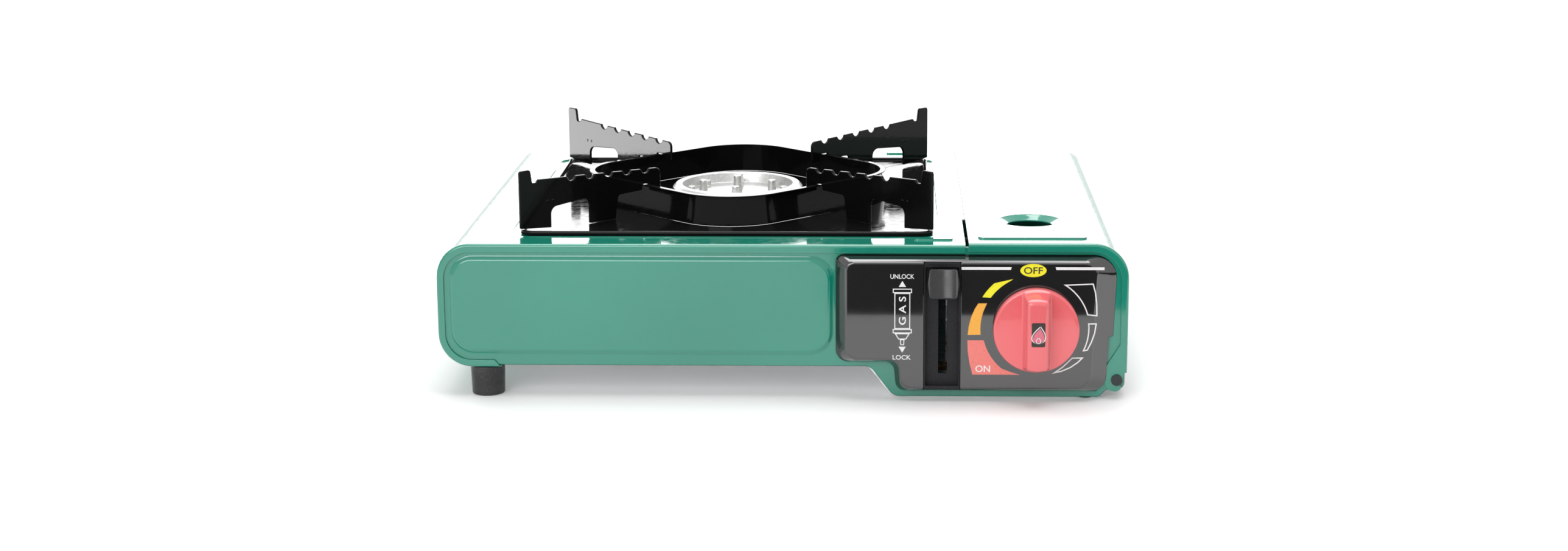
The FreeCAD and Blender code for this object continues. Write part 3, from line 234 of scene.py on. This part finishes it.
def moulded(name, colour, roughness, pit, height, dusty):
    """Plastic or rubber from a mould: a fine skin, patchy gloss and a trace of dust."""
    made, tree, shader, where = new_finish(name, colour, roughness)
    skin = grain(tree, where, pit, 2.0)
    tree.links.new(spread(tree, grain(tree, where, 120.0, 5.0), roughness * 0.8, roughness * 1.25),
                   shader.inputs["Roughness"])
    dust = spread(tree, grain(tree, where, 900.0, 6.0), 0.0, dusty, 0.55, 0.75)
    pale = tuple(0.5 * c + 0.2 for c in colour)
    tree.links.new(blend_colours(tree, dust, colour, pale), shader.inputs["Base Color"])
    relief(tree, shader, skin, height)
    return made


rubber = moulded("black_rubber", (0.012, 0.012, 0.013), 0.55, 1600.0, 0.00005, 0.15)
FOOT_EDGE = 0.0008
edges_rolled("rubber_legs", "leg_feet", "stove", rubber, FOOT_EDGE, 4)
dress(rubber, "bay_bumpers")


# Drip tray, wind ring and pan supports
# Steel sheet dipped in black enamel and fired: a thick glassy coat, soft at every edge.
# The ring stands in the tray, and the four supports hook over the ring's lip.

vitreous = enamel("black_enamel", (0.004, 0.004, 0.004), (0.006, 0.006, 0.006), 0.000016, 0.1)
ENAMEL_EDGE = 0.0003
ARM_EDGE = 0.00045
edges_rolled("fired_tray", "drip_tray", "pan_support", vitreous, ENAMEL_EDGE, 3)
edges_rolled("fired_ring", "wind_ring", "pan_support", vitreous, ENAMEL_EDGE, 3)
for corner in ("rear_right", "rear_left", "front_left", "front_right"):
    edges_rolled("fired_arm_" + corner, "trivet_" + corner, "pan_support", vitreous,
                 ARM_EDGE, 4)


def joined(pieces, name):
    """Several pieces made into one, with their places and turns worked into the mesh."""
    bpy.ops.object.select_all(action="DESELECT")
    for piece in pieces:
        piece.select_set(True)
    bpy.context.view_layer.objects.active = pieces[0]
    bpy.ops.object.join()
    pieces[0].name = name
    bpy.ops.object.transform_apply(location=True, rotation=True, scale=True)
    return pieces[0]


def stamped_spots(name, spots, radius, height, finish, body):
    """Low domed spots left by a welding tip or a punch, each given as a place and a facing."""
    made = []
    for place, facing in spots:
        bpy.ops.object.select_all(action="DESELECT")
        bpy.ops.mesh.primitive_circle_add(vertices=20, radius=radius, fill_type="NGON")
        spot = bpy.context.object
        bpy.ops.object.mode_set(mode="EDIT")
        bpy.ops.mesh.select_all(action="SELECT")
        for rise, shrink in ((0.6, 0.86), (0.3, 0.68), (0.1, 0.5)):
            bpy.ops.mesh.extrude_region_move(TRANSFORM_OT_translate={"value": (0, 0, rise * height)})
            bpy.ops.transform.resize(value=(shrink, shrink, 1))
        bpy.ops.mesh.select_all(action="SELECT")
        bpy.ops.mesh.normals_make_consistent(inside=False)
        bpy.ops.object.mode_set(mode="OBJECT")
        spot.location = Vector(place) * 0.001
        spot.rotation_euler = Vector(facing).to_track_quat("Z", "Y").to_euler()
        made.append(spot)
    return settle(joined(made, name), finish, body, 60.0)


TRAY_MIDDLE = (-28.6, 6.4)
HALF_PLATE = 0.8
WELD_Z = 92.6
WELD_REACHES = (129.6, 126.2)
WELD_SUNK = 0.05
WELD_RADIUS, WELD_RISE = 0.00075, 0.00025
welds = []
for turn in (45, 135, 225, 315):
    along = Vector((math.cos(math.radians(turn)), math.sin(math.radians(turn)), 0))
    across = Vector((-along.y, along.x, 0))
    for out in WELD_REACHES:
        for side in (1, -1):
            place = (Vector((*TRAY_MIDDLE, WELD_Z)) + out * along
                     + side * (HALF_PLATE - WELD_SUNK) * across)
            welds.append((place, side * across))
stamped_spots("arm_welds", welds, WELD_RADIUS, WELD_RISE, vitreous, "pan_support")


# Burner
# The head is die-cast aluminium with a turned rim, and the cup and mixing tube under it are spun.
# The casting is pale and slightly grainy; the cut faces are brighter.

def casting():
    made, tree, shader, where = new_finish("cast_aluminium", (0.8, 0.8, 0.79), 0.35, 1.0)
    cast = grain(tree, where, 700.0, 5.0)
    tree.links.new(spread(tree, cast, 0.24, 0.46), shader.inputs["Roughness"])
    tint = blend_colours(tree, spread(tree, cast, 0.0, 1.0), (0.66, 0.66, 0.65), (0.5, 0.5, 0.49))
    tree.links.new(tint, shader.inputs["Base Color"])
    relief(tree, shader, cast, 0.00003)
    return made


aluminium = casting()
CASTING_EDGE = 0.00018
edges_rolled("burner_casting", "burner_head", "stove", aluminium, CASTING_EDGE, 2)
dress(aluminium, "burner_base", "regulator_body", "regulator_cap", "canister_socket", "mixing_tube")


def cross_screw(place, facing, radius):
    """A pan-head screw with a cross recess, its head standing on a face."""
    bpy.ops.object.select_all(action="DESELECT")
    bpy.ops.mesh.primitive_cylinder_add(vertices=28, radius=radius, depth=0.6 * radius,
                                        location=(0, 0, 0.3 * radius))
    head = bpy.context.object
    bpy.ops.object.transform_apply(location=True, rotation=True, scale=True)
    for face in head.data.polygons:
        face.select = face.normal.z > 0.9
    bpy.ops.object.mode_set(mode="EDIT")
    bpy.ops.mesh.select_mode(type="FACE")
    bpy.ops.mesh.inset(thickness=0.16 * radius)
    bpy.ops.transform.translate(value=(0, 0, 0.12 * radius))
    bpy.ops.mesh.inset(thickness=0.25 * radius)
    bpy.ops.transform.translate(value=(0, 0, 0.06 * radius))
    bpy.ops.mesh.select_mode(type="VERT")
    bpy.ops.object.mode_set(mode="OBJECT")
    for wide, deep in ((0.55, 0.12), (0.12, 0.55)):
        bpy.ops.mesh.primitive_cube_add(size=2.0, location=(0, 0, 0.8 * radius))
        blade = bpy.context.object
        blade.scale = (wide * radius, deep * radius, 0.35 * radius)
        bpy.ops.object.transform_apply(location=True, rotation=True, scale=True)
        apply_modifier(head, "BOOLEAN", operation="DIFFERENCE", object=blade, solver="EXACT")
        bpy.data.objects.remove(blade)
    head.location = Vector(place) * 0.001
    head.rotation_euler = Vector(facing).to_track_quat("Z", "Y").to_euler()
    return head


def screws(name, spots, radius, body):
    heads = [cross_screw(place, facing, radius) for place, facing in spots]
    return settle(joined(heads, name), steel, body, 30.0)


CAP_X, CAP_Y, CAP_Z = 92.0, -99.5, 37.5
CAP_CIRCLE = 10.5
SCREW_RADIUS = 0.0019
cap_spots = [((CAP_X, CAP_Y + sy * CAP_CIRCLE, CAP_Z + sz * CAP_CIRCLE), (-1, 0, 0))
             for sy in (-1, 1) for sz in (-1, 1)]
screws("cap_screws", cap_spots, SCREW_RADIUS, "stove")
brass = bright_metal("brass", (0.75, 0.52, 0.22), 0.25)
dress(brass, "gas_jet", "valve_stem")
copper = bright_metal("copper", (0.72, 0.35, 0.22), 0.28)
dress(copper, "gas_tube")
ceramic = moulded("ceramic", (0.8, 0.77, 0.7), 0.2, 800.0, 0.00001, 0.1)
dress(ceramic, "electrode_insulator")
lead = moulded("lead_jacket", (0.02, 0.02, 0.022), 0.45, 900.0, 0.00001, 0.1)
dress(lead, "ignition_lead", "piezo_igniter")


# Control fascia
# A black plastic moulding with a polished face, clipped over the panel round the controls.

polished = moulded("gloss_black", (0.006, 0.006, 0.0065), 0.06, 90.0, 0.000004, 0.02)
polished.node_tree.nodes["Principled BSDF"].inputs["Specular IOR Level"].default_value = 0.9
polished.node_tree.nodes["Principled BSDF"].inputs["Coat Weight"].default_value = 0.6
FASCIA_EDGE = 0.0005
edges_rolled("fascia_moulding", "control_fascia", "stove", polished,
             FASCIA_EDGE, 4, 20.0)

MM = 0.001
INK = 0.00004
FACE_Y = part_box("control_fascia")[0].y
KNOB_X, KNOB_Z = 125.7, 37.5


def ink(name, colour):
    """Screen-printed ink: a thin satin film, slightly uneven in its cover."""
    made, tree, shader, where = new_finish(name, colour, 0.3)
    cover = spread(tree, grain(tree, where, 1500.0, 3.0), 0.0, 1.0, 0.35, 0.65)
    thin = tuple(0.93 * c for c in colour)
    tree.links.new(blend_colours(tree, cover, colour, thin), shader.inputs["Base Color"])
    tree.links.new(spread(tree, grain(tree, where, 400.0), 0.25, 0.4), shader.inputs["Roughness"])
    relief(tree, shader, grain(tree, where, 2200.0, 2.0), 0.000004)
    return made


def arc(radius, start, stop, steps=14, centre=(KNOB_X, KNOB_Z)):
    """Points on a circle about the knob's middle, between two angles in degrees."""
    turns = [math.radians(start + (stop - start) * i / steps) for i in range(steps + 1)]
    return [(centre[0] + radius * math.cos(t), centre[1] + radius * math.sin(t)) for t in turns]


def printed(name, outline, finish, line=None, level=0, body="stove", slot="gloss_black", y=FACE_Y):
    """An ink film on an upright face, filled or as a line of that width along its outline."""
    bpy.ops.object.select_all(action="DESELECT")
    bpy.ops.mesh.primitive_circle_add(vertices=len(outline), radius=0.01, fill_type="NGON")
    film = bpy.context.object
    film.name = name
    for vertex, (x, z) in zip(film.data.vertices, outline):
        vertex.co = (x * MM, y - level * INK, z * MM)
    bpy.ops.object.mode_set(mode="EDIT")
    bpy.ops.mesh.select_all(action="SELECT")
    if line:
        bpy.ops.mesh.inset(thickness=line * MM, use_boundary=True, use_even_offset=True)
        bpy.ops.mesh.delete(type="FACE")
        bpy.ops.mesh.select_all(action="SELECT")
    bpy.ops.mesh.extrude_region_move(TRANSFORM_OT_translate={"value": (0, -INK, 0)})
    bpy.ops.mesh.select_all(action="SELECT")
    bpy.ops.mesh.normals_make_consistent(inside=False)
    bpy.ops.object.mode_set(mode="OBJECT")
    return settle(film, finish, body, 20.0)


def printed_words(name, words, box, finish, level=0, turned=0.0):
    """Words in ink that fill a box given as its left, low, right and high sides."""
    bpy.ops.object.select_all(action="DESELECT")
    bpy.ops.object.text_add(location=(0, 0, 0))
    text = bpy.context.object
    text.name = name
    text.data.body = words
    text.data.offset = 0.012
    text.data.extrude = 0.01
    bpy.ops.object.convert(target="MESH")
    text.rotation_euler = (math.pi / 2, turned, 0)
    bpy.ops.object.transform_apply(location=False, rotation=True, scale=True)
    spots = [v.co.copy() for v in text.data.vertices]
    low = Vector([min(p[i] for p in spots) for i in range(3)])
    high = Vector([max(p[i] for p in spots) for i in range(3)])
    left, bottom, right, top = box
    scale = Vector(((right - left) * MM / (high.x - low.x), INK / (high.y - low.y),
                    (top - bottom) * MM / (high.z - low.z)))
    start = Vector((left * MM, FACE_Y - (level + 1) * INK, bottom * MM))
    for vertex in text.data.vertices:
        vertex.co = start + Vector([(vertex.co[i] - low[i]) * scale[i] for i in range(3)])
    bpy.ops.object.mode_set(mode="EDIT")
    bpy.ops.mesh.select_all(action="SELECT")
    bpy.ops.mesh.remove_doubles(threshold=0.000001)
    bpy.ops.mesh.normals_make_consistent(inside=False)
    bpy.ops.object.mode_set(mode="OBJECT")
    return settle(text, finish, "stove", 20.0)


white_ink = ink("white_ink", (0.88, 0.88, 0.88))
yellow_ink = ink("yellow_ink", (0.95, 0.9, 0.02))
orange_ink = ink("orange_ink", (0.95, 0.46, 0.06))
red_ink = ink("red_ink", (0.9, 0.23, 0.2))
pink_ink = ink("pink_ink", (0.75, 0.18, 0.25))
dark_ink = ink("dark_ink", (0.03, 0.025, 0.02))

LINE_Z = 67.9
LINE_HALF = 0.7
OFF_X, OFF_Z, OFF_WIDE, OFF_TALL = 124.0, 66.9, 6.4, 3.3
printed("heat_line_left", [(88.9, LINE_Z - LINE_HALF), (113.0, LINE_Z - LINE_HALF),
                           (113.4, LINE_Z + LINE_HALF), (88.9, LINE_Z + LINE_HALF)], white_ink)
printed("heat_line_right", [(135.2, LINE_Z - LINE_HALF), (158.6, LINE_Z - LINE_HALF),
                            (158.6, LINE_Z + LINE_HALF), (134.8, LINE_Z + LINE_HALF)], white_ink)
oval = [(OFF_X + OFF_WIDE * math.cos(math.radians(a)), OFF_Z + OFF_TALL * math.sin(math.radians(a)))
        for a in range(0, 360, 8)]
printed("off_oval", oval, yellow_ink)
printed_words("off_words", "OFF", (119.4, 65.2, 128.6, 68.6), dark_ink, 1)

NEAR, FAR = 27.3, 30.9
printed("low_heat", arc(FAR, 149, 132, 8) + [(114.2, 62.6)] + arc(NEAR, 118, 145, 8), yellow_ink)
printed("mid_heat", arc(NEAR, 152, 186.5, 10) + [(92.2, 34.3), (92.7, 38.8), (93.9, 43.6),
                                               (95.6, 47.6), (97.3, 50.3)], orange_ink)
printed("high_heat", [(92.1, 31.6), (100.1, 31.6)] + arc(26.2, 195, 231, 12)
        + [(113.4, 15.5), (118.0, 14.1), (94.7, 14.1), (93.2, 20.0), (92.3, 26.0)], red_ink)
printed_words("on_words", "ON", (96.2, 15.4, 103.4, 18.8), white_ink, 1)

OUTLINE = 0.6
printed("low_mark", arc(25.9, 59.5, 15.5, 10) + [(155.7, 43.9), (155.5, 50.0), (154.8, 55.6),
                                             (153.5, 60.5)], white_ink, OUTLINE)
printed("mid_mark", arc(25.6, 6.5, -26.5, 8) + [(151.2, 26.5), (153.2, 30.6), (154.7, 35.2),
                                             (155.5, 40.4)], white_ink, OUTLINE)
printed("high_mark", [(143.6, 23.0), (149.4, 23.1), (146.6, 20.2), (142.9, 17.6), (138.6, 15.7),
                      (133.7, 14.6), (138.9, 18.3)], white_ink, OUTLINE)

CAN_X = 60.0


def from_middle(*pairs):
    """A closed outline from points right of the canister picture's middle line."""
    right = [(CAN_X + x, z) for x, z in pairs]
    return right + [(2 * CAN_X - x, z) for x, z in reversed(right)]


printed_words("unlock_words", "UNLOCK", (54.1, 62.6, 65.8, 64.9), white_ink)
printed("unlock_arrow", [(58.2, 58.5), (61.8, 58.5), (60.0, 61.5)], white_ink)
printed("can_top_rim", from_middle((4.7, 55.4), (4.7, 57.6)), white_ink, 0.45)
printed("can_body", from_middle((3.9, 37.2), (3.9, 55.4)), white_ink, 0.45)
printed("can_low_rim", from_middle((4.7, 35.0), (4.7, 37.2)), white_ink, 0.45)
printed("can_shoulder", from_middle((1.9, 31.9), (3.8, 35.0)), white_ink, 0.45)
printed("can_neck", from_middle((0.9, 29.0), (1.1, 31.9)), white_ink, 0.4)
printed_words("gas_words", "G A S", (58.3, 39.3, 61.8, 53.6), white_ink, 0, -math.pi / 2)
printed("lock_arrow", [(60.0, 25.2), (61.8, 28.2), (58.2, 28.2)], white_ink)
printed_words("lock_words", "LOCK", (55.3, 21.6, 64.3, 23.9), white_ink)


# Slot insert and lock lever
# The insert is a finely textured black moulding that the lever runs in.
# The lever's steel plate ends in a smoother black thumb-piece, pushed on from the front.

matt = moulded("matt_black", (0.016, 0.016, 0.018), 0.42, 2400.0, 0.00006, 0.06)
matt.node_tree.nodes["Principled BSDF"].inputs["Specular IOR Level"].default_value = 0.2
GUIDE_EDGE = 0.00025
edges_rolled("lever_guide", "slot_insert", "stove", matt, GUIDE_EDGE, 3)
satin = moulded("satin_black", (0.02, 0.02, 0.021), 0.3, 1500.0, 0.00002, 0.04)


def melted(name, node, body, finish, cell, passes):
    """A moulding with every edge and inner corner blended, as it leaves a polished mould."""
    piece = take_copy(name, node)
    apply_modifier(piece, "REMESH", mode="VOXEL", voxel_size=cell)
    apply_modifier(piece, "SMOOTH", factor=0.5, iterations=passes)
    settle(piece, finish, body, 75.0)
    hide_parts(node)
    return piece


THUMB_CELL, THUMB_PASSES = 0.00025, 8
melted("thumb_piece", "lever_thumb", "lever", satin, THUMB_CELL, THUMB_PASSES)


# Control knob
# One red moulding with a polished face, pushed onto the valve's stem.

red = moulded("red_plastic", (0.84, 0.15, 0.165), 0.14, 150.0, 0.000008, 0.0)
red.node_tree.nodes["Principled BSDF"].inputs["Coat Weight"].default_value = 0.4
KNOB_CELL, KNOB_PASSES = 0.00035, 22
melted("heat_knob", "control_knob", "knob", red, KNOB_CELL, KNOB_PASSES)

KNOB_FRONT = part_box("control_knob")[0].y
DECAL_X, DECAL_Z, DECAL_WIDE, DECAL_TALL = 126.0, 38.3, 3.3, 6.0
DECAL_ROUND = 0.7
decal_corners = ((1, 1, 0), (-1, 1, 90), (-1, -1, 180), (1, -1, 270))
decal_edge = [spot for sx, sz, turn in decal_corners
              for spot in arc(DECAL_ROUND, turn, turn + 90, 4,
                              (DECAL_X + sx * (DECAL_WIDE - DECAL_ROUND),
                               DECAL_Z + sz * (DECAL_TALL - DECAL_ROUND)))]
on_knob = {"body": "knob", "slot": "red_plastic", "y": KNOB_FRONT - 0.5 * INK}
printed("decal_plate", decal_edge, dark_ink, **on_knob)


def flame(width, height, lean):
    """A flame's outline: round below, drawn out to a tip that leans to one side."""
    spots = []
    for i in range(32):
        turn = 2 * math.pi * i / 32
        rise = 0.5 - 0.5 * math.cos(turn)
        girth = math.sin(turn) * (1.0 - rise) ** 0.55
        spots.append((DECAL_X + width * girth + lean * rise ** 2, DECAL_Z - 4.4 + height * rise))
    return spots


printed("flame_edge", flame(4.7, 8.9, 1.0), white_ink, 0.42, 1, **on_knob)
printed("flame_fill", flame(3.8, 7.7, 0.85), pink_ink, None, 1, **on_knob)
printed("flame_heart", flame(1.7, 3.4, 0.1), white_ink, 0.3, 2, **on_knob)


# Studio
# A seamless white sheet, a large soft light overhead, one behind that the tops mirror and a gentle
# one in front. A small low lamp at the left and a dark card on the floor show in reflections alone.

FLOOR_REACH = 6.0

bpy.ops.mesh.primitive_plane_add(size=2 * FLOOR_REACH, location=(0, 0, 0))
floor = bpy.context.object
floor.name = "studio_floor"
bpy.ops.object.mode_set(mode="EDIT")
bpy.ops.mesh.subdivide(number_cuts=3)
bpy.ops.object.mode_set(mode="OBJECT")


def seen_or_mirrored(tree):
    """Whether a ray comes from the camera or off a glossy face, and then off a glossy face alone."""
    path = tree.nodes.new("ShaderNodeLightPath")
    either = tree.nodes.new("ShaderNodeMath")
    either.operation = "MAXIMUM"
    tree.links.new(path.outputs["Is Camera Ray"], either.inputs[0])
    tree.links.new(path.outputs["Is Glossy Ray"], either.inputs[1])
    return either.outputs[0], path.outputs["Is Glossy Ray"]


def paper():
    """White paper that the camera sees as lit evenly, and that still takes the shadow. It glows more
    to glossy rays, a painted reflection that brightens the glossy faces mirroring it.
    """
    made, tree, shader, where = new_finish("white_paper", (0.8, 0.8, 0.8), 0.7)
    tone = blend_colours(tree, spread(tree, grain(tree, where, 3.0), 0.0, 1.0),
                         (0.79, 0.79, 0.79), (0.82, 0.815, 0.815))
    tree.links.new(tone, shader.inputs["Base Color"])
    seen, mirrored = seen_or_mirrored(tree)
    glow = tree.nodes.new("ShaderNodeEmission")
    glow.inputs["Color"].default_value = (1, 1, 1, 1)
    # Glow strength: 0.1 for the camera, for an evenly white floor, and 0.4 for glossy rays, a painted
    # reflection brighter than the light falling on the paper.
    reflection_glow = tree.nodes.new("ShaderNodeMath")
    reflection_glow.operation = "MULTIPLY_ADD"
    reflection_glow.inputs[1].default_value = 0.3
    tree.links.new(mirrored, reflection_glow.inputs[0])
    tree.links.new(spread(tree, seen, 0.0, 0.1, 0.0, 1.0), reflection_glow.inputs[2])
    tree.links.new(reflection_glow.outputs[0], glow.inputs["Strength"])
    both = tree.nodes.new("ShaderNodeAddShader")
    tree.links.new(shader.outputs["BSDF"], both.inputs[0])
    tree.links.new(glow.outputs["Emission"], both.inputs[1])
    tree.links.new(both.outputs["Shader"], tree.nodes["Material Output"].inputs["Surface"])
    return made


floor.data.materials.append(paper())

CARD_NEAR, CARD_FAR, CARD_LEFT = -0.31, -5.5, 0.02
CARD_HALF = 4.0
CARD_RAISED = 0.0005

bpy.ops.object.select_all(action="DESELECT")
bpy.ops.mesh.primitive_plane_add(size=2.0, location=(0, 0, 0))
card = bpy.context.object
card.name = "dark_room_card"
bpy.ops.object.mode_set(mode="EDIT")
bpy.ops.transform.resize(value=(CARD_HALF, (CARD_NEAR - CARD_FAR) / 2, 1.0),
                         center_override=(0, 0, 0))
bpy.ops.transform.translate(value=(CARD_HALF + CARD_LEFT, (CARD_NEAR + CARD_FAR) / 2, CARD_RAISED))
bpy.ops.mesh.subdivide(number_cuts=2)
bpy.ops.object.mode_set(mode="OBJECT")
dark_cloth, cloth_tree, cloth_shader, cloth_where = new_finish("dark_cloth", (0.01, 0.01, 0.01), 0.9)
cloth_tone = blend_colours(cloth_tree, grain(cloth_tree, cloth_where, 4.0),
                           (0.006, 0.006, 0.006), (0.03, 0.03, 0.03))
cloth_tree.links.new(cloth_tone, cloth_shader.inputs["Base Color"])
card.data.materials.append(dark_cloth)
card.visible_camera = False
card.visible_diffuse = False
card.visible_shadow = False
card.visible_transmission = False

room = bpy.data.worlds.new("studio")
bpy.context.scene.world = room
room.use_nodes = True
room_tree = room.node_tree
backdrop = room_tree.nodes["Background"]
backdrop.inputs["Color"].default_value = (1, 1, 1, 1)
room_seen = seen_or_mirrored(room_tree)[0]
room_tree.links.new(spread(room_tree, room_seen, 0.35, 1.0, 0.0, 1.0), backdrop.inputs["Strength"])


def softbox(name, place, target, width, height, power):
    lamp = bpy.data.lights.new(name, "AREA")
    lamp.shape = "RECTANGLE"
    lamp.size = width
    lamp.size_y = height
    lamp.energy = power
    box = bpy.data.objects.new(name, lamp)
    bpy.context.scene.collection.objects.link(box)
    box.location = place
    box.rotation_euler = (Vector(target) - Vector(place)).to_track_quat("-Z", "Y").to_euler()
    box.visible_camera = False
    return box


softbox("over_light", (0.1, 0.1, 1.9), (0, 0, 0), 1.8, 1.4, 34.0)
softbox("back_light", (0.0, 2.4, 0.75), (0, 0, 0.05), 4.0, 1.0, 40.0)
softbox("front_light", (-0.7, -1.8, 1.0), (0, 0, 0.04), 1.4, 0.9, 18.0)
window = softbox("left_window", (-0.33, 0.13, 0.045), (-0.1, 0.1, 0.1), 0.2, 0.08, 0.9)
window.visible_diffuse = False

CAMERA_PLACE = (0.0518, -1.33485, 0.3374)
YAW, PITCH, ROLL = 0.0414, 0.2228, -0.0065

camera_data = bpy.data.cameras.new("photo_camera")
camera_data.sensor_width = 36.0
camera_data.lens = 57.8
camera = bpy.data.objects.new("photo_camera", camera_data)
bpy.context.scene.collection.objects.link(camera)
camera.location = CAMERA_PLACE
ahead = Vector((-math.sin(YAW) * math.cos(PITCH), math.cos(YAW) * math.cos(PITCH), -math.sin(PITCH)))
camera.rotation_mode = "QUATERNION"
camera.rotation_quaternion = ahead.to_track_quat("-Z", "Y") @ Quaternion((0, 0, 1), ROLL)
bpy.context.scene.camera = camera
bpy.context.scene.view_settings.view_transform = "Standard"
